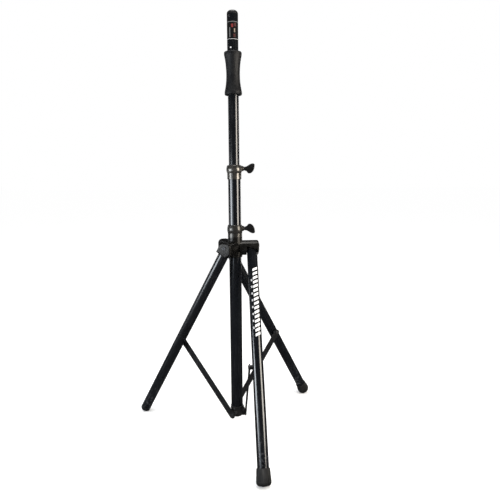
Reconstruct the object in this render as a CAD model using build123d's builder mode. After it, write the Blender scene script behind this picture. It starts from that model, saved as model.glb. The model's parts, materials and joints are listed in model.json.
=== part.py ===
from build123d import *
import math
import os

# Speaker tripod stand. Millimetres, +Z up, column axis on Z, floor at z = 0.
# Each leg has a radial direction (its azimuth) and a tangential one, a quarter turn
# further round. Legs and braces stand off the column axis along the tangential one.
# Pieces of one leg are drawn with the radial direction on +X, then turned into place.

os.makedirs("parts", exist_ok=True)

# ---------------------------------------------------------------- dimensions
POLE_R = 34.925 / 2
COLUMN_R = 41.275 / 2
LEG_R = 34.925 / 2
TUBE_WALL = 1.5
GAP = 0.03
RUNNING = 0.06

COLUMN_BOTTOM = 41.0
COLUMN_TOP = 893.0
POLE_BOTTOM = 304.0
POLE_TOP = 1257.7
STUB_BOTTOM = 1262.2
STUB_TOP = 1371.0
CAP_TOP = 1382.4

LEG_AZIMUTHS = {"right": 30, "left": 150, "front": 270}
FIRST_AZIMUTH = 30
LEG_OFFSET = 56.0
HUB_PIVOT_Z = 649.4
LEG_ANGLE = 29.84
BRACE_ALONG_LEG = 405.9
BRACE_PIVOT_R = 4.6
BRACE_PIVOT_Z = 44.9
BRACE_NEAR = 28.0
BRACE_FAR = 32.0
BRACE_WIDTH = 22.0
PIN_R = 4.0

SIN = math.sin(math.radians(LEG_ANGLE))
COS = math.cos(math.radians(LEG_ANGLE))
BRACE_TOP_R = BRACE_ALONG_LEG * SIN
BRACE_TOP_Z = HUB_PIVOT_Z - BRACE_ALONG_LEG * COS
BRACE_RUN = BRACE_TOP_R - BRACE_PIVOT_R
BRACE_RISE = BRACE_TOP_Z - BRACE_PIVOT_Z
BRACE_LENGTH = math.hypot(BRACE_RUN, BRACE_RISE)

LEG_DIR = (SIN, 0, -COS)
LEG_OUT = (COS, 0, SIN)
LEG_AXIS = Axis((0, LEG_OFFSET, HUB_PIVOT_Z), LEG_DIR)


def across(tangential):
    """Plane of (radial, z) sketches; it extrudes towards the column."""
    return Plane.XZ.offset(-tangential)


def leg_side(tangential):
    """Plane along the leg: x off its axis, y down its length; it extrudes outwards."""
    return Plane(origin=(0, tangential, HUB_PIVOT_Z), x_dir=LEG_OUT, z_dir=(0, 1, 0))


def leg_section(along):
    """Plane square to the leg at a distance from the pivot; it extrudes down the leg."""
    centre = (along * SIN, LEG_OFFSET, HUB_PIVOT_Z - along * COS)
    return Plane(origin=centre, x_dir=(0, 1, 0), z_dir=LEG_DIR)


def foot_end(radius, rounding):
    """Distance along the leg of a rounded foot's end when it presses on the floor."""
    drop = HUB_PIVOT_Z + FOOT_PRESS - rounding - (radius - rounding) * SIN
    return drop / COS + rounding


def save(part, name):
    part.label = name
    export_step(part, f"parts/{name}.step")


# ---------------------------------------------------------------- column
with BuildPart() as main_tube:
    with BuildSketch(Plane.XY.offset(COLUMN_BOTTOM)):
        Circle(COLUMN_R)
        Circle(COLUMN_R - TUBE_WALL, mode=Mode.SUBTRACT)
    extrude(amount=COLUMN_TOP - COLUMN_BOTTOM)
    # Holes for the rivets of the bottom bracket.
    RIVET_Z = 67.0
    RIVET_R = 2.4
    with Locations((0, 0, RIVET_Z)):
        with PolarLocations(COLUMN_R, 3):
            Cylinder(RIVET_R + GAP, 8, rotation=(0, 90, 0), mode=Mode.SUBTRACT)

# Domed plug in the lower end.
PLUG_DOME = 5.5
PLUG_DEPTH = 10.0
with BuildPart() as tube_end_plug:
    with BuildSketch(Plane.XY.offset(COLUMN_BOTTOM - PLUG_DOME)):
        Circle(COLUMN_R - 1)
    extrude(amount=PLUG_DOME - GAP)
    fillet(edges().group_by(Axis.Z)[0], radius=PLUG_DOME - 1)
    with BuildSketch(Plane.XY.offset(COLUMN_BOTTOM - 1)):
        Circle(COLUMN_R - TUBE_WALL - GAP)
    extrude(amount=PLUG_DEPTH + 1)

# Lug of one brace: it grows out of the bracket's sleeve.
LUG_FACE = 27.7
LUG_R = 9.0
LUG_TOP = 60.0
LUG_DEEP = 21.0
with BuildPart() as brace_lug:
    with BuildSketch(across(LUG_FACE)):
        with Locations((BRACE_PIVOT_R, BRACE_PIVOT_Z)):
            Circle(LUG_R)
        with BuildLine():
            Polyline(
                (BRACE_PIVOT_R + LUG_R, BRACE_PIVOT_Z),
                (BRACE_PIVOT_R + LUG_R, LUG_TOP - 5),
                (BRACE_PIVOT_R + LUG_R - 4, LUG_TOP),
                (-LUG_R, LUG_TOP),
                (-LUG_R - 3, LUG_TOP - 4),
                (BRACE_PIVOT_R - LUG_R, BRACE_PIVOT_Z),
                close=True,
            )
        make_face()
    extrude(amount=LUG_FACE - 14)
    chamfer(faces().sort_by(Axis.Y)[-1].edges(), length=0.8)

with BuildPart() as pin_bore:
    with BuildSketch(across(LUG_FACE + 1)):
        with Locations((BRACE_PIVOT_R, BRACE_PIVOT_Z)):
            Circle(PIN_R + GAP)
    extrude(amount=LUG_FACE + 1 - LUG_DEEP)

BRACKET_BOTTOM = 41.5
BRACKET_TOP = 75.0
BRACKET_R = 22.3
with BuildPart() as bottom_bracket:
    with BuildSketch(Plane.XY.offset(BRACKET_BOTTOM)):
        Circle(BRACKET_R)
    extrude(amount=BRACKET_TOP - BRACKET_BOTTOM)
    chamfer(edges().group_by(Axis.Z)[-1], length=0.8)
    with PolarLocations(0, 3, start_angle=FIRST_AZIMUTH):
        add(brace_lug.part)
    with BuildSketch(Plane.XY):
        Circle(COLUMN_R + GAP)
    extrude(amount=BRACKET_TOP + 5, mode=Mode.SUBTRACT)
    with PolarLocations(0, 3, start_angle=FIRST_AZIMUTH):
        add(pin_bore.part, mode=Mode.SUBTRACT)
    with Locations((0, 0, RIVET_Z)):
        with PolarLocations(BRACKET_R, 3):
            Cylinder(RIVET_R + GAP, 8, rotation=(0, 90, 0), mode=Mode.SUBTRACT)

# Pins of the braces' lower ends: a low head over the bar, a shank down into the lug.
PIN_HEAD_R = 7.0
PIN_HEAD_TOP = 33.3
with BuildPart() as lower_pin:
    with BuildSketch(across(PIN_HEAD_TOP)):
        with Locations((BRACE_PIVOT_R, BRACE_PIVOT_Z)):
            Circle(PIN_HEAD_R)
    extrude(amount=PIN_HEAD_TOP - BRACE_FAR - 0.3)
    fillet(edges().group_by(Axis.Y)[-1], radius=0.7)
    with BuildSketch(across(PIN_HEAD_TOP - 0.5)):
        with Locations((BRACE_PIVOT_R, BRACE_PIVOT_Z)):
            Circle(PIN_R)
    extrude(amount=PIN_HEAD_TOP - 0.5 - LUG_DEEP - 0.3)

with BuildPart() as brace_pivot_pins:
    with PolarLocations(0, 3, start_angle=FIRST_AZIMUTH):
        add(lower_pin.part)

# Domed rivets that hold the bracket on the column.
RIVET_HEAD_R = 4.2
RIVET_HEAD_TOP = 24.4
RIVET_SHANK = 4.3
with BuildPart() as bracket_rivets:
    with PolarLocations(0, 3):
        with Locations(Pos(BRACKET_R + GAP, 0, RIVET_Z) * Rot(0, 90, 0)):
            head_align = (Align.CENTER, Align.CENTER, Align.MIN)
            Cylinder(RIVET_HEAD_R, RIVET_HEAD_TOP - BRACKET_R, align=head_align)
    fillet(edges().filter_by(GeomType.CIRCLE).filter_by(
        lambda e: math.hypot(e.center().X, e.center().Y) > RIVET_HEAD_TOP), radius=1.6)
    with PolarLocations(0, 3):
        with Locations(Pos(COLUMN_R - TUBE_WALL + 0.1, 0, RIVET_Z) * Rot(0, 90, 0)):
            Cylinder(RIVET_R, RIVET_SHANK, align=head_align)

# ---------------------------------------------------------------- upper collar
UPPER_KNOB_Z = 904.0
LOWER_KNOB_Z = 707.6
BOSS_END = 30.0
BOSS_ROOT_R = 12.0
BOSS_END_R = 7.8
STUD_R = 3.92
THREAD_R = 4.0
PAD_R = 7.0
PAD_THICK = 2.7
PAD_TRAVEL = 2.5

COLLAR_TOP = 915.0
COLLAR_STEP = 890.9
COLLAR_BOTTOM = 869.9
COLLAR_R = 25.8
COLLAR_SLEEVE_R = 23.2
BUSH_FLANGE_TOP = 895.0


def knob_section(x, height):
    """Plane square to a knob's axis; it extrudes outwards."""
    return Plane(origin=(x, 0, height), x_dir=(0, 1, 0), z_dir=(1, 0, 0))


# The clamping bands of the collar and of the hub bulge outwards and roll over at the top.
CROWN = 1.8
LIP = 5.0
ROLL = 3.4


def crowned_band(radius, bottom, top):
    """Profile from a band's lower edge, out over its crown and round its top edge."""
    middle = (bottom + top - ROLL) / 2
    ThreePointArc((radius - CROWN, bottom), (radius, middle), (radius - CROWN, top - ROLL))
    RadiusArc((radius - CROWN, top - ROLL), (radius - LIP, top), -ROLL)


with BuildPart() as upper_collar:
    with BuildSketch(Plane.XZ):
        with BuildLine():
            Polyline(
                (COLLAR_R - CROWN, COLLAR_STEP),
                (COLLAR_SLEEVE_R, COLLAR_STEP - 1.5),
                (COLLAR_SLEEVE_R, COLLAR_BOTTOM + 0.6),
                (COLLAR_SLEEVE_R - 0.6, COLLAR_BOTTOM),
                (0, COLLAR_BOTTOM),
                (0, COLLAR_TOP),
                (COLLAR_R - LIP, COLLAR_TOP),
            )
            crowned_band(COLLAR_R, COLLAR_STEP, COLLAR_TOP)
        make_face()
    revolve(axis=Axis.Z)
    with BuildSketch(knob_section(0, UPPER_KNOB_Z)):
        Circle(BOSS_ROOT_R + 3.5)
    with BuildSketch(knob_section(BOSS_END, UPPER_KNOB_Z)):
        Circle(BOSS_END_R)
    loft()
    with BuildSketch(Plane.XY.offset(COLLAR_BOTTOM)):
        Circle(COLUMN_R + GAP)
    extrude(amount=BUSH_FLANGE_TOP + GAP - COLLAR_BOTTOM, mode=Mode.SUBTRACT)
    with BuildSketch(Plane.XY.offset(COLLAR_BOTTOM)):
        Circle(POLE_R + 0.5)
    extrude(amount=60, mode=Mode.SUBTRACT)
    with BuildSketch(knob_section(0, UPPER_KNOB_Z)):
        Circle(PAD_R + RUNNING)
    extrude(amount=POLE_R + PAD_THICK + PAD_TRAVEL + 0.3, mode=Mode.SUBTRACT)
    with BuildSketch(knob_section(0, UPPER_KNOB_Z)):
        Circle(THREAD_R)
    extrude(amount=BOSS_END + 1, mode=Mode.SUBTRACT)

# Flanged guide of the inner pole, seated in the column's open end.
BUSH_BOTTOM = 850.0
with BuildPart() as upper_bushing:
    with BuildSketch(Plane.XY.offset(BUSH_BOTTOM)):
        Circle(COLUMN_R - TUBE_WALL - GAP)
        Circle(POLE_R + RUNNING, mode=Mode.SUBTRACT)
    extrude(amount=BUSH_FLANGE_TOP - BUSH_BOTTOM)
    with BuildSketch(Plane.XY.offset(COLUMN_TOP)):
        Circle(COLUMN_R - 0.3)
        Circle(POLE_R + RUNNING, mode=Mode.SUBTRACT)
    extrude(amount=BUSH_FLANGE_TOP - COLUMN_TOP)

# ---------------------------------------------------------------- inner pole
with BuildPart() as inner_tube:
    with BuildSketch(Plane.XY.offset(POLE_BOTTOM)):
        Circle(POLE_R)
        Circle(POLE_R - TUBE_WALL, mode=Mode.SUBTRACT)
    extrude(amount=POLE_TOP - POLE_BOTTOM)

# Waisted rubber grip with a flange at each end, over a plastic core.
GRIP_TOP = 1262.0
GRIP_BOTTOM = 1133.3
GRIP_FLANGE_R = 27.9
GRIP_WAIST_R = 21.5
GRIP_BORE_R = 19.65
with BuildPart() as hand_grip:
    with BuildSketch(Plane.XZ):
        with BuildLine():
            edge_top = Line((GRIP_BORE_R, GRIP_TOP), (GRIP_FLANGE_R - 2.5, GRIP_TOP))
            lip_top = RadiusArc(edge_top @ 1, (GRIP_FLANGE_R, GRIP_TOP - 3), 3)
            rim_top = Line(lip_top @ 1, (GRIP_FLANGE_R - 0.3, GRIP_TOP - 10))
            waist = Spline(
                rim_top @ 1,
                (GRIP_FLANGE_R - 3.9, GRIP_TOP - 29),
                (GRIP_WAIST_R + 0.6, GRIP_TOP - 50),
                (GRIP_WAIST_R, GRIP_TOP - 70),
                (GRIP_WAIST_R + 1.1, GRIP_TOP - 90),
                (GRIP_WAIST_R + 3.9, GRIP_TOP - 109),
                (GRIP_FLANGE_R - 0.4, GRIP_BOTTOM + 10),
            )
            rim_bottom = Line(waist @ 1, (GRIP_FLANGE_R - 0.2, GRIP_BOTTOM + 3))
            lip_bottom = RadiusArc(
                rim_bottom @ 1, (GRIP_FLANGE_R - 2.7, GRIP_BOTTOM), 3
            )
            Line(lip_bottom @ 1, (GRIP_BORE_R, GRIP_BOTTOM))
            Line((GRIP_BORE_R, GRIP_BOTTOM), (GRIP_BORE_R, GRIP_TOP))
        make_face()
    revolve(axis=Axis.Z)

with BuildPart() as grip_core:
    with BuildSketch(Plane.XY.offset(GRIP_BOTTOM + 0.7)):
        Circle(GRIP_BORE_R - GAP)
        Circle(POLE_R + GAP, mode=Mode.SUBTRACT)
    extrude(amount=POLE_TOP - GRIP_BOTTOM - 0.7)

# Washer the turning stub runs on.
with BuildPart() as thrust_washer:
    with BuildSketch(Plane.XY.offset(POLE_TOP + 0.1)):
        Circle(GRIP_BORE_R - 0.2)
        Circle(POLE_R - TUBE_WALL + 0.1, mode=Mode.SUBTRACT)
    extrude(amount=STUB_BOTTOM - 0.3 - POLE_TOP - 0.1)

# ---------------------------------------------------------------- twist lock
ROD_R = 4.0
ROD_BOTTOM = 278.5
ROD_TOP = 1298.0
COLLET_BOTTOM = 276.0
COLLET_NECK_TOP = 326.0
COLLET_R = COLUMN_R - TUBE_WALL - 0.08
COLLET_CAVITY_R = 12.6
COLLET_FLOOR = 300.0
CAM_R = 10.8
CAM_THROW = 1.5
with BuildPart() as lock_collet:
    with BuildSketch(Plane.XY.offset(COLLET_BOTTOM)):
        Circle(COLLET_R)
    extrude(amount=POLE_BOTTOM - COLLET_BOTTOM)
    chamfer(edges().group_by(Axis.Z)[0], length=1.0)
    with BuildSketch(Plane.XY.offset(POLE_BOTTOM)):
        Circle(POLE_R - TUBE_WALL - GAP)
    extrude(amount=COLLET_NECK_TOP - POLE_BOTTOM)
    with BuildSketch(Plane.XY.offset(COLLET_BOTTOM)):
        Circle(COLLET_CAVITY_R)
        with Locations((-COLLET_R / 2, 0)):
            Rectangle(COLLET_R + 2, 3)
    extrude(amount=COLLET_FLOOR - COLLET_BOTTOM, mode=Mode.SUBTRACT)
    with BuildSketch(Plane.XY.offset(COLLET_BOTTOM)):
        Circle(ROD_R + RUNNING)
    extrude(amount=COLLET_NECK_TOP, mode=Mode.SUBTRACT)

with BuildPart() as lock_cam:
    with BuildSketch(Plane.XY.offset(ROD_BOTTOM + 3)):
        with Locations((CAM_THROW, 0)):
            Circle(CAM_R)
        Circle(ROD_R + GAP, mode=Mode.SUBTRACT)
    extrude(amount=15)
    chamfer(edges().group_by(Axis.Z)[0].sort_by(SortBy.RADIUS)[-1], length=1.0)

with BuildPart() as lock_rod:
    with BuildSketch(Plane.XY.offset(ROD_BOTTOM)):
        Circle(ROD_R)
    extrude(amount=ROD_TOP - ROD_BOTTOM)
    chamfer(edges().group_by(Axis.Z)[0], length=0.8)

# ---------------------------------------------------------------- pole top
FLUSH_RIVET_Z = 1365.0
FLUSH_RIVET_R = 3.4
FLUSH_RIVET_TURN = 225
CAP_PLUG_BOTTOM = 1352.0
CAP_ROUNDING = 9.5
with BuildPart() as pole_stub:
    with BuildSketch(Plane.XY.offset(STUB_BOTTOM)):
        Circle(POLE_R)
        Circle(POLE_R - TUBE_WALL, mode=Mode.SUBTRACT)
    extrude(amount=STUB_TOP - STUB_BOTTOM)
    with Locations((0, 0, FLUSH_RIVET_Z)):
        with PolarLocations(POLE_R, 2, start_angle=FLUSH_RIVET_TURN):
            Cylinder(FLUSH_RIVET_R + GAP, 8, rotation=(0, 90, 0), mode=Mode.SUBTRACT)

with BuildPart() as stub_cap:
    with BuildSketch(Plane.XY.offset(STUB_TOP)):
        Circle(POLE_R)
    extrude(amount=CAP_TOP - STUB_TOP)
    fillet(edges().group_by(Axis.Z)[-1], radius=CAP_ROUNDING)
    with BuildSketch(Plane.XY.offset(CAP_PLUG_BOTTOM)):
        Circle(POLE_R - TUBE_WALL - GAP)
    extrude(amount=STUB_TOP - CAP_PLUG_BOTTOM)
    with BuildSketch(Plane.XY.offset(CAP_PLUG_BOTTOM)):
        Circle(POLE_R - 5)
    extrude(amount=STUB_TOP - CAP_PLUG_BOTTOM - 1, mode=Mode.SUBTRACT)
    with Locations((0, 0, FLUSH_RIVET_Z)):
        with PolarLocations(POLE_R, 2, start_angle=FLUSH_RIVET_TURN):
            Cylinder(FLUSH_RIVET_R + GAP, 14, rotation=(0, 90, 0), mode=Mode.SUBTRACT)

RIVET_SPAN = 5.2
with BuildPart() as stub_rivets:
    with PolarLocations(0, 2, start_angle=FLUSH_RIVET_TURN):
        with Locations(Pos(POLE_R - 0.2, 0, FLUSH_RIVET_Z) * Rot(0, -90, 0)):
            Cylinder(FLUSH_RIVET_R, RIVET_SPAN, align=head_align)
    chamfer(edges().filter_by(GeomType.CIRCLE).filter_by(
        lambda e: math.hypot(e.center().X, e.center().Y) > POLE_R - 1), length=0.4)

# Journal of the stub: it turns inside the inner tube and carries the lock rod.
JOURNAL_BOTTOM = 1214.0
JOURNAL_TOP = 1300.0
with BuildPart() as stub_journal:
    with BuildSketch(Plane.XY.offset(JOURNAL_BOTTOM)):
        Circle(POLE_R - TUBE_WALL - RUNNING)
        Circle(ROD_R + GAP, mode=Mode.SUBTRACT)
    extrude(amount=JOURNAL_TOP - JOURNAL_BOTTOM)

# ---------------------------------------------------------------- hub
HUB_TOP = 720.2
HUB_STEP = 693.4
HUB_BOTTOM = 611.8
HUB_R = 25.9
HUB_SLEEVE_R = 24.0
LINER_TOP = 690.0
LINER_R = 22.3
ARM_END = 79.0
ARM_ROOT = 14.0
ARM_TOP = 17.5
ARM_BACK = -21.5
ARM_WALL = 21.6
ARM_REACH = 26.0
POCKET_NEAR = LEG_OFFSET - LEG_R - 0.6
POCKET_FAR = LEG_OFFSET + LEG_R + 0.6
POCKET_HALF = LEG_R + 0.65
TONGUE_R = 13.2
LEG_START = 16.0


def leg_point(off, along):
    """(radial, z) of a point given off the leg's axis and down its length."""
    return (off * COS + along * SIN, HUB_PIVOT_Z + off * SIN - along * COS)


# One arm: a solid hood whose pocket lets its leg swing up against the column.
with BuildPart() as hub_arm:
    with BuildSketch(across(ARM_END)) as hood:
        with BuildLine():
            Polyline(
                (ARM_BACK, HUB_PIVOT_Z + ARM_TOP),
                (ARM_BACK, HUB_PIVOT_Z - ARM_WALL),
                leg_point(-ARM_WALL + 2, ARM_REACH + 2),
                leg_point(ARM_WALL, ARM_REACH),
                leg_point(ARM_WALL, 2),
                (leg_point(ARM_WALL, 0)[0] - 6, HUB_PIVOT_Z + ARM_TOP),
                close=True,
            )
        make_face()
        fillet(hood.vertices().group_by(Axis.Y)[-1], radius=14)
        fillet(hood.vertices().group_by(Axis.Y)[0], radius=9)
    extrude(amount=ARM_END - ARM_ROOT)
    fillet(faces().sort_by(Axis.Y)[-1].edges(), radius=5)
    # Pocket for the leg's round tongue and for its tube in every position.
    with BuildSketch(across(POCKET_FAR)):
        with Locations((0, HUB_PIVOT_Z)):
            Circle(TONGUE_R + 0.8)
        with BuildLine():
            Polyline(
                (-POCKET_HALF, HUB_PIVOT_Z - LEG_START + 3),
                (-TONGUE_R - 0.8, HUB_PIVOT_Z),
                leg_point(TONGUE_R + 0.8, 0),
                leg_point(POCKET_HALF, LEG_START - 3),
                leg_point(POCKET_HALF, 3 * ARM_REACH),
                (-POCKET_HALF, HUB_PIVOT_Z - 3 * ARM_REACH),
                close=True,
            )
        make_face()
    extrude(amount=POCKET_FAR - POCKET_NEAR, mode=Mode.SUBTRACT)
    # The front wall's lower edge climbs towards the column.
    front_wall = (COS * POCKET_HALF, 0, HUB_PIVOT_Z + SIN * POCKET_HALF)
    with BuildSketch(Plane(origin=front_wall, x_dir=(0, 1, 0), z_dir=LEG_OUT)):
        with BuildLine():
            Polyline(
                (POCKET_NEAR, -11),
                (POCKET_FAR, -ARM_REACH + 3),
                (POCKET_FAR, -ARM_REACH - 4),
                (POCKET_NEAR, -ARM_REACH - 4),
                close=True,
            )
        make_face()
    extrude(amount=ARM_WALL, both=True, mode=Mode.SUBTRACT)
    with BuildSketch(across(ARM_END + 1)):
        with Locations((0, HUB_PIVOT_Z)):
            Circle(PIN_R + GAP)
    extrude(amount=ARM_END + 1 - 26, mode=Mode.SUBTRACT)

with BuildPart() as hub_casting:
    with BuildSketch(Plane.XZ):
        with BuildLine():
            Polyline(
                (HUB_R - CROWN, HUB_STEP),
                (HUB_SLEEVE_R, HUB_STEP - 1.5),
                (HUB_SLEEVE_R, HUB_BOTTOM + 1),
                (HUB_SLEEVE_R - 1, HUB_BOTTOM),
                (0, HUB_BOTTOM),
                (0, HUB_TOP),
                (HUB_R - LIP, HUB_TOP),
            )
            crowned_band(HUB_R, HUB_STEP, HUB_TOP)
        make_face()
    revolve(axis=Axis.Z)
    with PolarLocations(0, 3, start_angle=FIRST_AZIMUTH):
        add(hub_arm.part)
    with BuildSketch(knob_section(0, LOWER_KNOB_Z)):
        Circle(BOSS_ROOT_R + 3.5)
    with BuildSketch(knob_section(BOSS_END, LOWER_KNOB_Z)):
        Circle(BOSS_END_R)
    loft()
    with BuildSketch(Plane.XY.offset(HUB_BOTTOM - 10)):
        Circle(COLUMN_R + 0.45)
    extrude(amount=HUB_TOP - HUB_BOTTOM + 20, mode=Mode.SUBTRACT)
    with BuildSketch(Plane.XY.offset(HUB_BOTTOM - 10)):
        Circle(LINER_R + GAP)
    extrude(amount=LINER_TOP + 0.1 - HUB_BOTTOM + 10, mode=Mode.SUBTRACT)
    with BuildSketch(knob_section(0, LOWER_KNOB_Z)):
        Circle(PAD_R + RUNNING)
    extrude(amount=COLUMN_R + PAD_THICK + PAD_TRAVEL + 0.3, mode=Mode.SUBTRACT)
    with BuildSketch(knob_section(0, LOWER_KNOB_Z)):
        Circle(THREAD_R)
    extrude(amount=BOSS_END + 1, mode=Mode.SUBTRACT)

with BuildPart() as hub_liner:
    with BuildSketch(Plane.XY.offset(HUB_BOTTOM + 0.5)):
        Circle(LINER_R)
        Circle(COLUMN_R + RUNNING, mode=Mode.SUBTRACT)
    extrude(amount=LINER_TOP - HUB_BOTTOM - 0.5)

# Bolts the legs turn on: a low round head outside, the end blind in the arm's web.
BOLT_HEAD_R = 6.5
BOLT_HEAD_H = 2.6
BOLT_END = 27.0
SOCKET_ACROSS_FLATS = 5.0
with BuildPart() as leg_bolt:
    with BuildSketch(across(ARM_END + BOLT_HEAD_H + 0.05)):
        with Locations((0, HUB_PIVOT_Z)):
            Circle(BOLT_HEAD_R)
    extrude(amount=BOLT_HEAD_H)
    fillet(edges().group_by(Axis.Y)[-1], radius=1.2)
    with BuildSketch(across(ARM_END + 1)):
        with Locations((0, HUB_PIVOT_Z)):
            Circle(PIN_R)
    extrude(amount=ARM_END + 1 - BOLT_END)
    with BuildSketch(across(ARM_END + BOLT_HEAD_H + 1)):
        with Locations((0, HUB_PIVOT_Z)):
            RegularPolygon(SOCKET_ACROSS_FLATS / 2, 6, major_radius=False)
    extrude(amount=2.8, mode=Mode.SUBTRACT)

with BuildPart() as leg_pivot_bolts:
    with PolarLocations(0, 3, start_angle=FIRST_AZIMUTH):
        add(leg_bolt.part)

for piece, name in (
    (main_tube, "main_tube"),
    (tube_end_plug, "tube_end_plug"),
    (bottom_bracket, "bottom_bracket"),
    (brace_pivot_pins, "brace_pivot_pins"),
    (bracket_rivets, "bracket_rivets"),
    (upper_collar, "upper_collar"),
    (upper_bushing, "upper_bushing"),
    (inner_tube, "inner_tube"),
    (hand_grip, "hand_grip"),
    (grip_core, "grip_core"),
    (thrust_washer, "thrust_washer"),
    (lock_collet, "lock_collet"),
    (lock_cam, "lock_cam"),
    (lock_rod, "lock_rod"),
    (pole_stub, "pole_stub"),
    (stub_cap, "stub_cap"),
    (stub_rivets, "stub_rivets"),
    (stub_journal, "stub_journal"),
    (hub_casting, "hub_casting"),
    (hub_liner, "hub_liner"),
    (leg_pivot_bolts, "leg_pivot_bolts"),
):
    save(piece.part, name)

# ---------------------------------------------------------------- clamp knobs
# Each clamp: a pad on the tube, a stud whose nose sits in the pad, a winged knob.
STUD_NOSE_R = 2.5
STUD_END = 46.0
KNOB_START = 30.4
KNOB_NECK_R = 6.3
WING_HALF_THICK = 4.6
WING = (
    (35.0, 6.2),
    (45.0, 10.0),
    (54.0, 15.2),
    (61.5, 16.6),
    (66.2, 14.4),
    (67.0, 9.0),
    (64.6, -2.5),
    (58.6, -11.6),
    (52.0, -15.2),
    (44.5, -14.0),
    (39.5, -8.0),
    (35.0, -6.2),
)
CLAMPS = {
    "upper": (POLE_R, UPPER_KNOB_Z, 1),
    "lower": (COLUMN_R, LOWER_KNOB_Z, -1),
}
for side, (shaft_r, height, lobe) in CLAMPS.items():
    pad_back = shaft_r + RUNNING + PAD_THICK
    with BuildPart() as clamp_pad:
        with BuildSketch(knob_section(shaft_r - 3, height)):
            Circle(PAD_R)
        extrude(amount=pad_back - shaft_r + 3)
        with BuildSketch(Plane.XY.offset(height - 2 * PAD_R)):
            Circle(shaft_r + RUNNING)
        extrude(amount=4 * PAD_R, mode=Mode.SUBTRACT)
        with BuildSketch(knob_section(pad_back - 1.6, height)):
            Circle(STUD_NOSE_R + RUNNING)
        extrude(amount=3, mode=Mode.SUBTRACT)
    save(clamp_pad.part, f"{side}_pad")

    with BuildPart() as knob_stud:
        with BuildSketch(knob_section(pad_back - 1.3, height)):
            Circle(STUD_NOSE_R)
        extrude(amount=1.6 + 1)
        with BuildSketch(knob_section(pad_back + 0.3, height)):
            Circle(STUD_R)
        extrude(amount=STUD_END - pad_back - 0.3)
        chamfer(edges().group_by(Axis.X)[-1], length=0.8)
    save(knob_stud.part, f"{side}_knob_stud")

    with BuildPart() as wing_knob:
        with BuildSketch(Plane.XZ.offset(-WING_HALF_THICK)):
            with BuildLine():
                Spline(*[(x, height + lobe * z) for x, z in WING], periodic=True)
            make_face()
        extrude(amount=2 * WING_HALF_THICK)
        fillet(edges(), radius=2.2)
        with BuildSketch(knob_section(KNOB_START, height)):
            Circle(KNOB_NECK_R)
        with BuildSketch(knob_section(STUD_END + 6, height)):
            Circle(KNOB_NECK_R - 2)
        loft()
        with BuildSketch(knob_section(KNOB_START - 1, height)):
            Circle(STUD_R + GAP)
        extrude(amount=STUD_END + 0.3 - KNOB_START + 1, mode=Mode.SUBTRACT)
    save(wing_knob.part, f"{side}_knob")

# ---------------------------------------------------------------- legs
FOOT_PRESS = 0.6
FOOT_WALL_END = 8.0
BOOT_LENGTH = 48.0
BOOT_BORE_R = LEG_R + GAP
PLUG_SHOWS = 12.0
PLUG_IN = 26.0
KNUCKLE_IN = 45.0
TONGUE_HALF = 11.5
BOOT_END = foot_end(22.3, 12.0)
BALL_END = foot_end(22.2, 19.0)
PLUG_END = foot_end(LEG_R, 8.0)
TUBE_ENDS = {
    "front": BOOT_END - FOOT_WALL_END,
    "right": BALL_END - FOOT_WALL_END,
    "left": PLUG_END - PLUG_SHOWS,
}
VENT_R = 2.2
VENT_BACK = 52.0
BOSS_FACE = 36.5
BRACE_BOSS_R = 7.5

with BuildPart() as knuckle:
    with BuildSketch(leg_side(LEG_OFFSET - TONGUE_HALF)):
        Circle(TONGUE_R)
        with Locations((0, LEG_START / 2)):
            Rectangle(2 * TONGUE_R, LEG_START)
    extrude(amount=2 * TONGUE_HALF)
    with BuildSketch(leg_side(POCKET_NEAR + 0.3)):
        Circle(9)
    extrude(amount=POCKET_FAR - POCKET_NEAR - 0.6)
    with BuildSketch(leg_section(LEG_START - 2)):
        Circle(LEG_R)
    extrude(amount=2)
    with BuildSketch(leg_section(LEG_START)):
        Circle(LEG_R - TUBE_WALL - GAP)
    extrude(amount=KNUCKLE_IN - LEG_START)
    with BuildSketch(leg_side(0)):
        Circle(PIN_R + RUNNING)
    extrude(amount=2 * LEG_OFFSET, mode=Mode.SUBTRACT)

with BuildPart() as brace_boss:
    with BuildSketch(leg_side(BOSS_FACE)):
        with Locations((0, BRACE_ALONG_LEG)):
            Circle(BRACE_BOSS_R)
    extrude(amount=10)
    with BuildSketch(leg_section(BRACE_ALONG_LEG - 20)):
        Circle(LEG_R + GAP)
    extrude(amount=40, mode=Mode.SUBTRACT)

# Rounded boot with lengthwise flutes.
FLUTES = 24
with BuildPart() as fluted_boot:
    with BuildSketch(leg_side(LEG_OFFSET)) as boot_wall:
        with BuildLine():
            Polyline(
                (BOOT_BORE_R, BOOT_END - BOOT_LENGTH),
                (19.6, BOOT_END - BOOT_LENGTH),
                (20.2, BOOT_END - BOOT_LENGTH + 1.5),
                (20.6, BOOT_END - BOOT_LENGTH + 8),
                (22.3, BOOT_END - 14),
                (22.3, BOOT_END),
                (0, BOOT_END),
                (0, BOOT_END - FOOT_WALL_END + 0.1),
                (BOOT_BORE_R, BOOT_END - FOOT_WALL_END + 0.1),
                close=True,
            )
        make_face()
        fillet(boot_wall.vertices().sort_by_distance((22.3, BOOT_END, 0))[0], radius=12)
    revolve(axis=LEG_AXIS)
    with BuildSketch(leg_section(BOOT_END - BOOT_LENGTH + 9)):
        with PolarLocations(22.4, FLUTES):
            Circle(1.3)
    extrude(amount=BOOT_LENGTH - 22, mode=Mode.SUBTRACT)
    with BuildSketch(Plane.XY):
        with Locations((LEG_DIR[0] * BOOT_END, LEG_OFFSET)):
            Rectangle(200, 200)
    extrude(amount=-30, mode=Mode.SUBTRACT)

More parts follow.
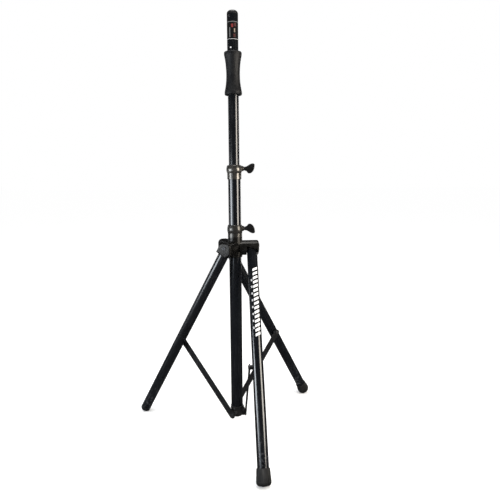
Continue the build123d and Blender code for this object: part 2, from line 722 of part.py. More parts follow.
# Ball-ended boot.
with BuildPart() as ball_boot:
    with BuildSketch(leg_side(LEG_OFFSET)) as ball_wall:
        with BuildLine():
            Polyline(
                (BOOT_BORE_R, BALL_END - BOOT_LENGTH),
                (19.3, BALL_END - BOOT_LENGTH),
                (19.9, BALL_END - BOOT_LENGTH + 1.5),
                (20.1, BALL_END - BOOT_LENGTH + 12),
                (22.2, BALL_END - 26),
                (22.2, BALL_END),
                (0, BALL_END),
                (0, BALL_END - FOOT_WALL_END + 0.1),
                (BOOT_BORE_R, BALL_END - FOOT_WALL_END + 0.1),
                close=True,
            )
        make_face()
        fillet(ball_wall.vertices().sort_by_distance((22.2, BALL_END, 0))[0], radius=19)
    revolve(axis=LEG_AXIS)
    with BuildSketch(Plane.XY):
        with Locations((LEG_DIR[0] * BALL_END, LEG_OFFSET)):
            Rectangle(200, 200)
    extrude(amount=-30, mode=Mode.SUBTRACT)

# Bare rounded plug of the leg that has no boot.
with BuildPart() as end_plug:
    with BuildSketch(leg_section(PLUG_END - PLUG_SHOWS + 0.05)):
        Circle(LEG_R)
    extrude(amount=PLUG_SHOWS - 0.05)
    rim = edges().filter_by(GeomType.CIRCLE).sort_by(Axis((0, 0, 0), LEG_DIR))[-1]
    fillet(rim, radius=8)
    with BuildSketch(leg_section(PLUG_END - PLUG_SHOWS - PLUG_IN)):
        Circle(LEG_R - TUBE_WALL - GAP)
    extrude(amount=PLUG_IN + 1)
    with BuildSketch(Plane.XY):
        with Locations((LEG_DIR[0] * PLUG_END, LEG_OFFSET)):
            Rectangle(200, 200)
    extrude(amount=-30, mode=Mode.SUBTRACT)

FEET = {
    "front": (fluted_boot, "front_foot_boot"),
    "right": (ball_boot, "right_foot_boot"),
    "left": (end_plug, "left_foot_plug"),
}
for side, azimuth in LEG_AZIMUTHS.items():
    with BuildPart() as leg_tube:
        with BuildSketch(leg_section(LEG_START)):
            Circle(LEG_R)
            Circle(LEG_R - TUBE_WALL, mode=Mode.SUBTRACT)
        extrude(amount=TUBE_ENDS[side] - LEG_START)
        vent = leg_section(TUBE_ENDS[side] - VENT_BACK)
        with BuildSketch(Plane(origin=vent.origin, x_dir=(0, 1, 0), z_dir=LEG_OUT)):
            Circle(VENT_R)
        extrude(amount=LEG_R + 2, mode=Mode.SUBTRACT)
    save(leg_tube.part.rotate(Axis.Z, azimuth), f"{side}_leg_tube")
    save(knuckle.part.rotate(Axis.Z, azimuth), f"{side}_leg_knuckle")
    save(brace_boss.part.rotate(Axis.Z, azimuth), f"{side}_leg_brace_boss")
    foot, foot_name = FEET[side]
    save(foot.part.rotate(Axis.Z, azimuth), foot_name)

# ---------------------------------------------------------------- braces
RIVET_HEAD_OUT = 25.2
UPPER_RIVET_R = 7.0
SPACER_END = 36.2
brace_line = (BRACE_RUN / BRACE_LENGTH, 0, BRACE_RISE / BRACE_LENGTH)
bar_plane = Plane(
    origin=(BRACE_PIVOT_R, BRACE_FAR, BRACE_PIVOT_Z), x_dir=brace_line, z_dir=(0, -1, 0)
)
with BuildPart() as brace_bar:
    with BuildSketch(bar_plane):
        with Locations((BRACE_LENGTH / 2, 0)):
            SlotCenterToCenter(BRACE_LENGTH, BRACE_WIDTH)
        Circle(PIN_R + RUNNING, mode=Mode.SUBTRACT)
        with Locations((BRACE_LENGTH, 0)):
            Circle(PIN_R + GAP, mode=Mode.SUBTRACT)
    extrude(amount=BRACE_FAR - BRACE_NEAR)
    chamfer(faces().sort_by(Axis.Y)[-1].outer_wire().edges(), length=0.5)
    chamfer(faces().sort_by(Axis.Y)[0].outer_wire().edges(), length=0.5)

with BuildPart() as upper_rivet:
    with BuildSketch(across(BRACE_NEAR - 0.05)):
        with Locations((BRACE_TOP_R, BRACE_TOP_Z)):
            Circle(UPPER_RIVET_R)
    extrude(amount=BRACE_NEAR - RIVET_HEAD_OUT)
    fillet(edges().group_by(Axis.Y)[0], radius=2.0)
    with BuildSketch(across(SPACER_END)):
        with Locations((BRACE_TOP_R, BRACE_TOP_Z)):
            Circle(PIN_R)
    extrude(amount=SPACER_END - BRACE_NEAR + 1)

with BuildPart() as upper_spacer:
    with BuildSketch(across(SPACER_END)):
        with Locations((BRACE_TOP_R, BRACE_TOP_Z)):
            Circle(UPPER_RIVET_R)
            Circle(PIN_R + GAP, mode=Mode.SUBTRACT)
    extrude(amount=SPACER_END - BRACE_FAR - 0.05)

for side, azimuth in LEG_AZIMUTHS.items():
    save(brace_bar.part.rotate(Axis.Z, azimuth), f"{side}_brace")
    save(upper_rivet.part.rotate(Axis.Z, azimuth), f"{side}_brace_rivet")
    save(upper_spacer.part.rotate(Axis.Z, azimuth), f"{side}_brace_spacer")
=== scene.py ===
import json
import math

import bmesh
import bpy
from mathutils import Matrix, Vector


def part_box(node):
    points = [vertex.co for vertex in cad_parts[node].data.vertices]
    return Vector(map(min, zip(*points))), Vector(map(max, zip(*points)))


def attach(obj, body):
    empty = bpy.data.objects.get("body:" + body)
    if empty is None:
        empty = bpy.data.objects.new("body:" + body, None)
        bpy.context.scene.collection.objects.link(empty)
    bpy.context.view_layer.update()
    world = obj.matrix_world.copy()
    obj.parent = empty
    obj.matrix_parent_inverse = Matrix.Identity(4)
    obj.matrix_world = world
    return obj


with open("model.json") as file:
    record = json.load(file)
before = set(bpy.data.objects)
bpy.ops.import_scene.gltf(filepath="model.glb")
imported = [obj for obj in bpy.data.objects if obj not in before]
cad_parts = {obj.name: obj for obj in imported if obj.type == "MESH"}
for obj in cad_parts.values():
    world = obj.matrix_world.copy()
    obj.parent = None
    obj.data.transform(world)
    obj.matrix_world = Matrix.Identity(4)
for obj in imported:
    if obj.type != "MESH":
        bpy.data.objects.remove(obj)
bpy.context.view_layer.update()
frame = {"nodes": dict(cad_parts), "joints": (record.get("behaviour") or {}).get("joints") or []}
NODES = frame["nodes"]
JOINTS = {joint["name"]: joint for joint in frame["joints"]}
SIDES = ("right", "left", "front")
Z_AXIS = Vector((0.0, 0.0, 1.0))

# ------------------------------------------------------------------ camera
CAMERA_AT = Vector((-0.0756, -1.5566, 0.8609))
PITCH = math.radians(-10.27)
YAW = math.radians(4.60)
ROLL = math.radians(-0.38)
FOCAL_LENGTH = 33.51
SENSOR_WIDTH = 36.0
VIEW_SHIFT = 0.0325


def add_camera():
    """A camera in front of the stand that looks along +Y, slightly down and to the right."""
    flat = math.cos(PITCH)
    forward = Vector((math.sin(YAW) * flat, math.cos(YAW) * flat, math.sin(PITCH)))
    level = Vector((math.cos(YAW), -math.sin(YAW), 0.0))
    upward = level.cross(forward)
    right = level * math.cos(ROLL) + upward * math.sin(ROLL)
    up = upward * math.cos(ROLL) - level * math.sin(ROLL)
    camera = bpy.data.objects.new("camera", bpy.data.cameras.new("camera"))
    bpy.context.scene.collection.objects.link(camera)
    camera.data.sensor_width = SENSOR_WIDTH
    camera.data.lens = FOCAL_LENGTH
    camera.data.shift_y = VIEW_SHIFT
    camera.rotation_mode = "QUATERNION"
    rotation = [[r, u, -f] for r, u, f in zip(right, up, forward)]
    camera.matrix_world = Matrix.Translation(CAMERA_AT) @ Matrix(rotation).to_4x4()
    bpy.context.scene.camera = camera


add_camera()


# --------------------------------------------------------------- materials
class Look:
    """A material whose nodes are added one line at a time."""

    def __init__(self, name):
        self.mat = bpy.data.materials.new(name)
        self.mat.use_nodes = True
        self.nt = self.mat.node_tree
        self.bsdf = self.nt.nodes["Principled BSDF"]
        self.where = self.nt.nodes.new("ShaderNodeTexCoord").outputs["Object"]

    def node(self, kind, **values):
        node = self.nt.nodes.new(kind)
        for key, value in values.items():
            setattr(node, key, value)
        return node

    def join(self, output, socket):
        self.nt.links.new(output, socket)

    def set(self, **values):
        for key, value in values.items():
            self.bsdf.inputs[key.replace("_", " ")].default_value = value

    def mapped(self, scale, turn=(0, 0, 0)):
        """Object coordinates scaled along X, Y and Z and then turned."""
        mapping = self.node("ShaderNodeMapping")
        mapping.inputs["Scale"].default_value = scale
        mapping.inputs["Rotation"].default_value = turn
        self.join(self.where, mapping.inputs["Vector"])
        return mapping.outputs["Vector"]

    def lengthwise(self, stretch, lean):
        """Coordinates drawn out along a tube; lean is the turn that lays Z along the tube."""
        mapping = self.node("ShaderNodeMapping", vector_type="TEXTURE")
        mapping.inputs["Scale"].default_value = (1.0, 1.0, stretch)
        mapping.inputs["Rotation"].default_value = lean
        self.join(self.where, mapping.inputs["Vector"])
        return mapping.outputs["Vector"]

    def noise(self, scale, detail=4.0, rough=0.55, where=None):
        noise = self.node("ShaderNodeTexNoise")
        noise.inputs["Scale"].default_value = scale
        noise.inputs["Detail"].default_value = detail
        noise.inputs["Roughness"].default_value = rough
        self.join(self.where if where is None else where, noise.inputs["Vector"])
        return noise.outputs["Fac"]

    def cells(self, scale):
        cells = self.node("ShaderNodeTexVoronoi")
        cells.inputs["Scale"].default_value = scale
        self.join(self.where, cells.inputs["Vector"])
        return cells.outputs["Distance"]

    def waves(self, scale, distort, where=None):
        waves = self.node("ShaderNodeTexWave")
        waves.inputs["Scale"].default_value = scale
        waves.inputs["Distortion"].default_value = distort
        self.join(self.where if where is None else where, waves.inputs["Vector"])
        return waves.outputs["Fac"]

    def span(self, value, low, high, to_low=0.0, to_high=1.0):
        """Stretches low..high to to_low..to_high and holds it there outside that range."""
        span = self.node("ShaderNodeMapRange")
        span.inputs["From Min"].default_value = low
        span.inputs["From Max"].default_value = high
        span.inputs["To Min"].default_value = to_low
        span.inputs["To Max"].default_value = to_high
        self.join(value, span.inputs["Value"])
        return span.outputs["Result"]

    def math(self, kind, *values):
        """One operation on one or two values, each a socket or a number."""
        node = self.node("ShaderNodeMath", operation=kind)
        for socket, value in zip(node.inputs, values):
            if isinstance(value, (int, float)):
                socket.default_value = value
            else:
                self.join(value, socket)
        return node.outputs["Value"]

    def blend(self, factor, a, b):
        """Colour a where factor is 0 and b where it is 1, each a socket or an RGB tuple."""
        mix = self.node("ShaderNodeMix", data_type="RGBA")
        inputs = [s for s in mix.inputs if s.type == "RGBA"]
        for socket, value in zip(inputs, (a, b)):
            if isinstance(value, tuple):
                socket.default_value = (*value, 1.0)
            else:
                self.join(value, socket)
        self.join(factor, mix.inputs["Factor"])
        return [s for s in mix.outputs if s.type == "RGBA"][0]

    def axis(self, letter):
        split = self.node("ShaderNodeSeparateXYZ")
        self.join(self.where, split.inputs["Vector"])
        return split.outputs[letter]

    def edge(self, radius):
        """How near a sharp edge a point is, for paint and casting skin that rub off there."""
        bevel = self.node("ShaderNodeBevel", samples=4)
        bevel.inputs["Radius"].default_value = radius
        geometry = self.node("ShaderNodeNewGeometry")
        dot = self.node("ShaderNodeVectorMath", operation="DOT_PRODUCT")
        self.join(bevel.outputs["Normal"], dot.inputs[0])
        self.join(geometry.outputs["Normal"], dot.inputs[1])
        gap = self.math("SUBTRACT", 1.0, dot.outputs["Value"])
        return self.span(gap, 0.02, 0.25)

    def color(self, socket):
        self.join(socket, self.bsdf.inputs["Base Color"])

    def rough(self, socket):
        self.join(socket, self.bsdf.inputs["Roughness"])

    def relief(self, *layers, soften=0.0):
        """Bumps, each (height, distance in metres, strength); soften rounds edges in shading."""
        normal = None
        if soften:
            bevel = self.node("ShaderNodeBevel", samples=4)
            bevel.inputs["Radius"].default_value = soften
            normal = bevel.outputs["Normal"]
        for height, distance, strength in layers:
            bump = self.node("ShaderNodeBump")
            bump.inputs["Distance"].default_value = distance
            bump.inputs["Strength"].default_value = strength
            self.join(height, bump.inputs["Height"])
            if normal is not None:
                self.join(normal, bump.inputs["Normal"])
            normal = bump.outputs["Normal"]
        self.join(normal, self.bsdf.inputs["Normal"])


DUST = (0.20, 0.19, 0.17)


def gloss_tube(name, base, worn, gloss, lean=(0, 0, 0), track=None, scuffs=None):
    """Powder-coated tube: orange peel, fine lengthwise hairlines and dust. track and scuffs
    each take the look and return a mask of where the coat is rubbed in streaks or chipped."""
    look = Look(name)
    cloud = look.noise(9.0, 5.0)
    hair = look.noise(520.0, 3.0, 0.6, where=look.lengthwise(45.0, lean))
    hairlines = look.span(hair, 0.60, 0.72)
    dust = look.span(look.noise(240.0, 6.0, 0.75), 0.60, 0.78)
    blotch = look.span(look.noise(14.0, 4.0), 0.45, 0.70)
    dusty = look.math("MULTIPLY", dust, blotch)
    paler = tuple(c * 1.45 + 0.001 for c in base)
    tint = look.blend(look.span(cloud, 0.3, 0.7), base, paler)
    tint = look.blend(look.math("MULTIPLY", hairlines, 0.12), tint, worn)
    tint = look.blend(look.math("MULTIPLY", dusty, 0.10), tint, DUST)
    roughness = look.span(cloud, 0.3, 0.75, gloss, gloss + 0.07)
    roughness = look.math("ADD", roughness, look.math("MULTIPLY", hairlines, 0.10))
    roughness = look.math("ADD", roughness, look.math("MULTIPLY", dusty, 0.25))
    if track is not None:
        streak = look.math("MULTIPLY", track(look), look.span(hair, 0.42, 0.62))
        tint = look.blend(look.math("MULTIPLY", streak, 0.35), tint, worn)
        roughness = look.math("ADD", roughness, look.math("MULTIPLY", streak, 0.15))
    if scuffs is not None:
        tint = look.blend(look.math("MULTIPLY", scuffs(look), 0.35), tint, worn)
    look.color(tint)
    look.rough(roughness)
    look.set(IOR=1.5, Coat_Weight=0.35, Coat_Roughness=0.08)
    peel = look.noise(620.0, 2.0, 0.5)
    look.relief((peel, 0.000004, 0.20), (hair, 0.000003, 0.15))
    return look.mat


def cast(name, base, light, rough, rub, metallic=0.0, painted_highlight=None):
    """Satin casting: fine sandy skin, cloudy tone, rubbed edges and scuffs. bright is a height
    and a lighter tone painted on the casting above it, a painted highlight."""
    look = Look(name)
    cloud = look.noise(38.0, 6.0, 0.6)
    fine = look.noise(1500.0, 3.0, 0.6)
    scuff_lines = look.noise(300.0, 4.0, 0.7, where=look.mapped((0.25, 1.0, 1.3), (0.5, 0.3, 0.8)))
    blotch = look.span(look.noise(26.0, 3.0), 0.50, 0.66)
    scuff = look.math("MULTIPLY", look.span(scuff_lines, 0.55, 0.68), blotch)
    broken = look.span(look.noise(120.0, 5.0), 0.38, 0.60)
    edge = look.math("MULTIPLY", look.edge(0.0012), broken)
    tint = look.blend(look.span(cloud, 0.35, 0.65), base, light)
    # Above a height the tone is raised: a painted highlight.
    if painted_highlight is not None:
        height, painted_highlight_tint = painted_highlight
        above = look.span(look.axis("Z"), height - 0.003, height + 0.003)
        tint = look.blend(above, tint, painted_highlight_tint)
    tint = look.blend(look.math("MULTIPLY", scuff, 0.20), tint, rub)
    tint = look.blend(look.math("MULTIPLY", edge, 0.55), tint, rub)
    look.color(tint)
    roughness = look.span(cloud, 0.3, 0.7, rough - 0.06, rough + 0.10)
    look.rough(look.math("SUBTRACT", roughness, look.math("MULTIPLY", edge, 0.12)))
    look.set(Metallic=metallic, IOR=1.5)
    look.relief((fine, 0.00008, 0.30), (scuff_lines, 0.00006, 0.20), soften=0.0007)
    return look.mat


def moulded(name, base, light, rough):
    """Moulded plastic: fine spark-eroded grain, slight tone drift, worn edges."""
    look = Look(name)
    cloud = look.noise(55.0, 5.0)
    broken = look.span(look.noise(160.0, 4.0), 0.40, 0.62)
    edge = look.math("MULTIPLY", look.edge(0.0009), broken)
    worn = tuple(c * 3.0 + 0.03 for c in base)
    tint = look.blend(look.span(cloud, 0.35, 0.70), base, light)
    look.color(look.blend(look.math("MULTIPLY", edge, 0.35), tint, worn))
    look.rough(look.span(look.noise(140.0, 5.0, 0.65), 0.3, 0.7, rough - 0.07, rough + 0.09))
    look.set(IOR=1.47)
    look.relief((look.cells(900.0), 0.00006, 0.30), soften=0.0006)
    return look.mat


def bare_steel(name, base, rough, metallic=1.0):
    """Plated steel: turned marks, dull stains and edge shine."""
    look = Look(name)
    stain = look.noise(210.0, 5.0, 0.65)
    brushed = look.noise(900.0, 3.0, 0.6, where=look.mapped((1.0, 1.0, 0.08)))
    dull = tuple(c * 0.55 for c in base)
    shine = tuple(min(1, c * 1.5) for c in base)
    tint = look.blend(look.span(stain, 0.38, 0.66), base, dull)
    look.color(look.blend(look.math("MULTIPLY", look.edge(0.0006), 0.5), tint, shine))
    roughness = look.span(stain, 0.3, 0.7, rough - 0.05, rough + 0.15)
    look.rough(look.math("ADD", roughness, look.span(brushed, 0.4, 0.6, -0.04, 0.04)))
    look.set(Metallic=metallic)
    look.relief((brushed, 0.00003, 0.3), soften=0.0003)
    return look.mat


def rubber(name, base, dust, rough, dusty_below=None, texture=None):
    """Soft rubber with a bloom of dust, and more of it below a height. texture is None, "weave"
    for the grip's crossed diagonal lines or "flutes" for the boots' upright ones."""
    look = Look(name)
    cloud = look.noise(46.0, 6.0, 0.65)
    bloom = look.math("MULTIPLY", look.span(cloud, 0.40, 0.72), 0.55)
    if dusty_below is not None:
        low = look.span(look.axis("Z"), dusty_below, 0.0)
        low = look.math("MULTIPLY", low, look.span(look.noise(90.0, 5.0), 0.30, 0.60))
        bloom = look.math("MAXIMUM", bloom, low)
    look.color(look.blend(bloom, base, dust))
    look.rough(look.span(cloud, 0.3, 0.7, rough - 0.08, rough + 0.08))
    look.set(IOR=1.45)
    layers = [(look.noise(1300.0, 3.0, 0.6), 0.0001, 0.35)]
    if texture == "weave":
        across = look.waves(150.0, 0.6, where=look.mapped((1.0, 1.0, 1.0), (0.0, 0.62, 0.0)))
        back = look.waves(150.0, 0.6, where=look.mapped((1.0, 1.0, 1.0), (0.55, -0.35, 0.0)))
        layers.append((look.math("MULTIPLY", across, back), 0.0004, 0.5))
    if texture == "flutes":
        layers.append((look.waves(85.0, 0.4), 0.0012, 0.9))
    look.relief(*layers, soften=0.0008)
    return look.mat


def pad_track(bottom, top):
    """Rubbed stripe on the side that a clamp pad presses, between two heights."""
    def mask(look):
        x = look.axis("X")
        y = look.axis("Y")
        z = look.axis("Z")
        near_middle = look.span(look.math("ABSOLUTE", y), 0.0065, 0.003)
        stripe = look.math("MULTIPLY", near_middle, look.span(x, 0.0, 0.006))
        above_bottom = look.span(z, bottom, bottom + 0.02)
        below_top = look.span(z, top, top - 0.02)
        return look.math("MULTIPLY", stripe, look.math("MULTIPLY", above_bottom, below_top))
    return mask


def foot_scuffs(look):
    """Chips and scrapes in the coat near the foot, where a leg is dragged and kicked."""
    low = look.span(look.axis("Z"), 0.15, 0.03)
    chips = look.span(look.noise(130.0, 5.0, 0.7), 0.56, 0.60)
    return look.math("MULTIPLY", low, chips)


BLACK = (0.0022, 0.0027, 0.0038)
SCRATCH = (0.16, 0.165, 0.175)
SATIN_BLACK = (0.0045, 0.0048, 0.0056)
# Heights between which the clamp pads have rubbed the column and the pole.
COLUMN_RUB = (0.60, 0.86)
POLE_RUB = (0.42, 1.12)
# The hub's neck and clamp band, above its arms, get a lighter metal tone than the rest: a painted
# highlight that makes their reflections brighter.
HUB_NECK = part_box("hub_casting")[1][2] - 0.040
# The coat's roughness on each leg.
LEG_GLOSS = {"right": 0.18, "left": 0.25, "front": 0.14}

LOOKS = {
    "column": gloss_tube("column_gloss", BLACK, SCRATCH, 0.13, track=pad_track(*COLUMN_RUB)),
    "pole": gloss_tube("pole_gloss", BLACK, SCRATCH, 0.14, track=pad_track(*POLE_RUB)),
    "stub": gloss_tube("stub_gloss", BLACK, SCRATCH, 0.15),
    "brace": gloss_tube("brace_satin", SATIN_BLACK, SCRATCH, 0.30),
    # The hub's lighter tone above its neck height is a painted highlight.
    "hub": cast("hub_cast", (0.0115, 0.0110, 0.0105), (0.026, 0.0250, 0.0230), 0.24,
                (0.30, 0.285, 0.25), metallic=0.8, painted_highlight=(HUB_NECK, (0.066, 0.063, 0.058))),
    "collar": cast("collar_cast", (0.088, 0.083, 0.076), (0.165, 0.156, 0.142), 0.22,
                   (0.42, 0.40, 0.355), metallic=0.85),
    "bracket": cast("bracket_cast", (0.006, 0.006, 0.0065), (0.014, 0.014, 0.014), 0.36,
                    (0.13, 0.13, 0.125)),
    "knob": moulded("knob_plastic", (0.0030, 0.0030, 0.0036), (0.0065, 0.0065, 0.0075), 0.33),
    "plug": moulded("plug_plastic", (0.0045, 0.0045, 0.0052), (0.010, 0.010, 0.011), 0.40),
    "nylon": moulded("natural_nylon", (0.60, 0.58, 0.52), (0.70, 0.68, 0.62), 0.42),
    "grip": rubber("grip_rubber", (0.0028, 0.0034, 0.0046), (0.0080, 0.0078, 0.0075), 0.50,
                   texture="weave"),
    "boot": rubber("boot_rubber", (0.0055, 0.0055, 0.0060), (0.020, 0.0195, 0.0185), 0.50,
                   dusty_below=0.010, texture="flutes"),
    "zinc": bare_steel("zinc_steel", (0.36, 0.36, 0.365), 0.34),
    "dark_rivet": bare_steel("blackened_steel", (0.075, 0.075, 0.078), 0.38, metallic=0.8),
    "rod": bare_steel("drawn_rod", (0.44, 0.43, 0.42), 0.30),
}


def leg_directions(side):
    """A leg's hinge point, the way down its length and the way out of its upper face. Folding
    swings a leg from its lean to upright, so the hinge's whole travel is the lean."""
    hinge = JOINTS[f"{side}_leg_hinge"]
    lean = math.radians(hinge["range_deg"][1])
    outward = Vector(hinge["axis"]).cross(Z_AXIS)
    down = outward * math.sin(lean) - Z_AXIS * math.cos(lean)
    face = outward * math.cos(lean) + Z_AXIS * math.sin(lean)
    return Vector(hinge["pos_m"]), down, face


# A leg's hairlines run down its own length, so its texture is turned to lie along the leg.
for side in SIDES:
    hinge_at, down, face = leg_directions(side)
    turn = Matrix((face, face.cross(down), -down)).transposed().to_euler()
    LOOKS[side] = gloss_tube(f"{side}_leg_gloss", BLACK, SCRATCH, LEG_GLOSS[side],
                             lean=tuple(turn), scuffs=foot_scuffs)

MATERIAL_OF = {
    "main_tube": "column", "inner_tube": "pole", "pole_stub": "stub",
    "tube_end_plug": "plug", "bottom_bracket": "bracket", "brace_pivot_pins": "dark_rivet",
    "bracket_rivets": "dark_rivet", "upper_collar": "collar", "upper_bushing": "nylon",
    "upper_pad": "nylon", "lower_pad": "nylon", "upper_knob": "knob", "lower_knob": "knob",
    "upper_knob_stud": "zinc", "lower_knob_stud": "zinc", "hand_grip": "grip",
    "grip_core": "plug", "thrust_washer": "plug", "lock_collet": "nylon", "stub_cap": "plug",
    "stub_rivets": "zinc", "stub_journal": "nylon", "lock_rod": "rod", "lock_cam": "rod",
    "hub_casting": "hub", "hub_liner": "nylon", "leg_pivot_bolts": "dark_rivet",
    "front_foot_boot": "boot", "right_foot_boot": "boot", "left_foot_plug": "plug",
}
for side in SIDES:
    MATERIAL_OF[f"{side}_leg_tube"] = side
    MATERIAL_OF[f"{side}_leg_knuckle"] = "plug"
    MATERIAL_OF[f"{side}_leg_brace_boss"] = "plug"
    MATERIAL_OF[f"{side}_brace"] = "brace"
    MATERIAL_OF[f"{side}_brace_rivet"] = "dark_rivet"
    MATERIAL_OF[f"{side}_brace_spacer"] = "plug"

for node, look in MATERIAL_OF.items():
    data = NODES[node].data
    data.materials.clear()
    data.materials.append(LOOKS[look])
missing = sorted(set(NODES) - set(MATERIAL_OF))
if missing:
    raise ValueError(f"nodes without a material: {missing}")

# ------------------------------------------------------------ printed marks
BARE_COAT = (0.02, 0.02, 0.022)


def print_ink(name, color, rough=0.38):
    """Screen-printed ink: slightly uneven colour, pin-holed and rubbed through in places."""
    look = Look(name)
    pin_holes = look.span(look.noise(420.0, 5.0, 0.7), 0.58, 0.66)
    rub = look.math("MULTIPLY", pin_holes, look.span(look.noise(60.0, 3.0), 0.42, 0.62))
    dimmer = tuple(c * 0.82 for c in color)
    tint = look.blend(look.span(look.noise(85.0, 4.0), 0.35, 0.7), color, dimmer)
    look.color(look.blend(look.math("MULTIPLY", rub, 0.8), tint, BARE_COAT))
    look.rough(look.span(look.noise(300.0, 4.0), 0.3, 0.7, rough - 0.05, rough + 0.1))
    look.relief((look.noise(900.0, 3.0), 0.00003, 0.25))
    return look.mat


# The stub, the pole and the legs are all the same tube.
STUB_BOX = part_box("pole_stub")
TUBE_RADIUS = STUB_BOX[1].x
# How far a patch's underside lies inside the tube, so that no gap shows under it.
PATCH_SINK = 0.00006


def patch(name, body, origin, axis, face, span, sweep, thick, material, steps=10, slant=0.0):
    """A thin closed patch bent round a tube. axis runs along the tube and face points out at
    angle 0; span is the two distances along the axis and sweep the two angles in degrees.
    slant is how much further along the axis the patch is at its last angle than at its first."""
    axis = Vector(axis).normalized()
    face = Vector(face).normalized()
    side = axis.cross(face)
    start, end = span
    inner = TUBE_RADIUS - PATCH_SINK
    outer = TUBE_RADIUS + thick
    section = ((inner, start), (outer, start), (outer, end), (inner, end))
    mesh = bpy.data.meshes.new(name)
    bm = bmesh.new()
    rows = []
    for i in range(steps + 1):
        share = i / steps
        angle = math.radians(sweep[0] + (sweep[1] - sweep[0]) * share)
        out = face * math.cos(angle) + side * math.sin(angle)
        row = []
        for radius, distance in section:
            along = axis * (distance + slant * share)
            row.append(bm.verts.new(Vector(origin) + along + out * radius))
        rows.append(row)
    for near, far in zip(rows, rows[1:]):
        for k in range(4):
            following = (k + 1) % 4
            bm.faces.new((near[k], near[following], far[following], far[k]))
    bm.faces.new(rows[0][::-1])
    bm.faces.new(rows[-1])
    bmesh.ops.recalc_face_normals(bm, faces=bm.faces)
    bm.to_mesh(mesh)
    bm.free()
    mesh.materials.append(material)
    for polygon in mesh.polygons:
        polygon.use_smooth = False
    piece = bpy.data.objects.new(name, mesh)
    bpy.context.scene.collection.objects.link(piece)
    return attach(piece, body)


WHITE_INK = print_ink("white_ink", (0.80, 0.80, 0.79))
GREY_INK = print_ink("grey_ink", (0.48, 0.48, 0.48))
RED_INK = print_ink("red_ink", (0.17, 0.016, 0.016))
FADED_INK = print_ink("faded_ink", (0.19, 0.19, 0.19))
DARK_RED_INK = print_ink("dark_red_ink", (0.062, 0.010, 0.009))
TAN_INK = print_ink("tan_ink", (0.26, 0.205, 0.155))
FILM = print_ink("label_film", (0.006, 0.006, 0.0065), rough=0.22)

# How far each kind of mark stands out of the tube.
INK = 0.0001
FILM_THICKNESS = 0.00008
ON_FILM = 0.00013

# A row of slanted bars and a row of dashes run down the front leg from its hinge.
BAR_COUNT = 16
BAR_ROW = (0.082, 0.312)
BAR_SWEEP = (-43.0, 11.0)
DASH_COUNT = 8
DASH_START = 0.125
DASH_PITCH = 0.0225
DASH_LENGTH = 0.0070
DASH_SWEEP = (19.0, 35.0)
hinge_at, down, face = leg_directions("front")
pitch = (BAR_ROW[1] - BAR_ROW[0]) / BAR_COUNT
for i in range(BAR_COUNT):
    start = BAR_ROW[0] + i * pitch
    patch(f"leg_bar_{i + 1}", "front_leg", hinge_at, down, face, (start, start + pitch * 0.58),
          BAR_SWEEP, INK, WHITE_INK, slant=pitch * 0.55)
for i in range(DASH_COUNT):
    start = DASH_START + i * DASH_PITCH
    patch(f"leg_dash_{i + 1}", "front_leg", hinge_at, down, face, (start, start + DASH_LENGTH),
          DASH_SWEEP, INK, GREY_INK)

# The label wrapped round the stub. Heights are from the stub's foot, at the top of the grip;
# 0 degrees faces -Y and angles grow towards +X.
STUB_FOOT = (0.0, 0.0, STUB_BOX[0].z)
MARKS = [
    ("label_film", (0.0335, 0.0858), (-78, 78), FILM_THICKNESS, FILM),
    ("label_rule_top", (0.0840, 0.0852), (-76, 76), ON_FILM, FADED_INK),
    ("label_rule_bottom", (0.0341, 0.0353), (-76, 76), ON_FILM, GREY_INK),
    ("label_block_red", (0.0678, 0.0778), (-18, 4), ON_FILM, RED_INK),
    ("label_block_dark", (0.0708, 0.0808), (14, 34), ON_FILM, DARK_RED_INK),
    ("label_stripe_pale", (0.0398, 0.0678), (-36, -28), ON_FILM, FADED_INK),
    ("label_block_tan", (0.0538, 0.0648), (12, 24), ON_FILM, TAN_INK),
    ("label_block_rust", (0.0398, 0.0488), (4, 26), ON_FILM, DARK_RED_INK),
    ("stub_tick", (0.0083, 0.0118), (-32, -17), INK, WHITE_INK),
]
for name, span, sweep, thick, ink in MARKS:
    patch(name, "pole_top", STUB_FOOT, Z_AXIS, (0.0, -1.0, 0.0), span, sweep, thick, ink, steps=16)

# ------------------------------------------------------------------- stage
FLOOR_REACH = 60.0
FLOOR_TONE = 0.995


def add_floor():
    """A matt white floor that reaches the horizon and is not mirrored in the tubes."""
    corners = [(-FLOOR_REACH, -FLOOR_REACH, 0), (FLOOR_REACH, -FLOOR_REACH, 0),
               (FLOOR_REACH, FLOOR_REACH, 0), (-FLOOR_REACH, FLOOR_REACH, 0)]
    mesh = bpy.data.meshes.new("floor")
    mesh.from_pydata(corners, [], [(0, 1, 2, 3)])
    paint = bpy.data.materials.new("pale_floor")
    paint.use_nodes = True
    shader = paint.node_tree.nodes["Principled BSDF"]
    shader.inputs["Base Color"].default_value = (FLOOR_TONE, FLOOR_TONE, FLOOR_TONE, 1.0)
    shader.inputs["Roughness"].default_value = 0.9
    shader.inputs["Specular IOR Level"].default_value = 0.0
    mesh.materials.append(paint)
    floor = bpy.data.objects.new("floor", mesh)
    bpy.context.scene.collection.objects.link(floor)
    floor.visible_glossy = False


add_floor()


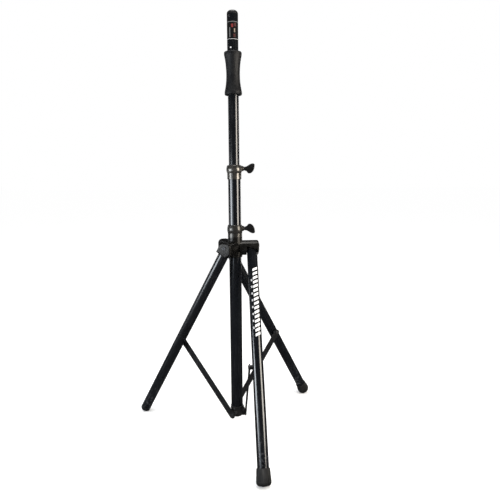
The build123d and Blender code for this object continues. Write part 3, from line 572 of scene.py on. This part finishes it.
def softbox(name, at, target, width, height, power, tint):
    """A rectangular lamp that faces a target; power is in watts."""
    lamp = bpy.data.lights.new(name, "AREA")
    lamp.shape = "RECTANGLE"
    lamp.size = width
    lamp.size_y = height
    lamp.energy = power
    lamp.color = tint
    holder = bpy.data.objects.new(name, lamp)
    bpy.context.scene.collection.objects.link(holder)
    holder.location = at
    holder.rotation_mode = "QUATERNION"
    holder.rotation_quaternion = (Vector(target) - Vector(at)).to_track_quat("-Z", "Y")


MIDDLE = (0.0, 0.0, 0.66)
softbox("left_box", (-1.84, -0.66, 0.66), MIDDLE, 1.0, 0.60, 21, (0.88, 0.94, 1.0))
softbox("left_fill", (-1.30, -1.45, 0.60), MIDDLE, 0.55, 0.70, 3, (0.80, 0.90, 1.0))
softbox("right_strip", (1.62, -1.05, 0.97), MIDDLE, 0.9, 1.0, 32, (1.0, 0.93, 0.83))
softbox("back_left", (-1.7, 1.6, 0.9), MIDDLE, 0.22, 1.5, 3, (0.93, 0.97, 1.0))
softbox("back_right", (1.5, 1.9, 0.9), MIDDLE, 0.22, 1.5, 5, (1.0, 0.97, 0.93))
softbox("overhead", (0.0, -0.3, 3.2), (0.0, 0.0, 0.4), 1.2, 1.2, 30, (1.0, 1.0, 1.0))


def add_world(mirrored):
    """A white surround. Glossy rays see it dimmed to mirrored, so that the tubes stay dark."""
    world = bpy.data.worlds.new("studio")
    bpy.context.scene.world = world
    world.use_nodes = True
    tree = world.node_tree
    background = tree.nodes["Background"]
    rays = tree.nodes.new("ShaderNodeLightPath")
    strength = tree.nodes.new("ShaderNodeMapRange")
    strength.inputs["To Min"].default_value = 1.0
    strength.inputs["To Max"].default_value = mirrored
    tree.links.new(rays.outputs["Is Glossy Ray"], strength.inputs["Value"])
    tree.links.new(strength.outputs["Result"], background.inputs["Strength"])
    background.inputs["Color"].default_value = (1.0, 1.0, 1.0, 1.0)


add_world(mirrored=0.05)
bpy.context.scene.view_settings.view_transform = "Standard"

bpy.context.view_layer.update()
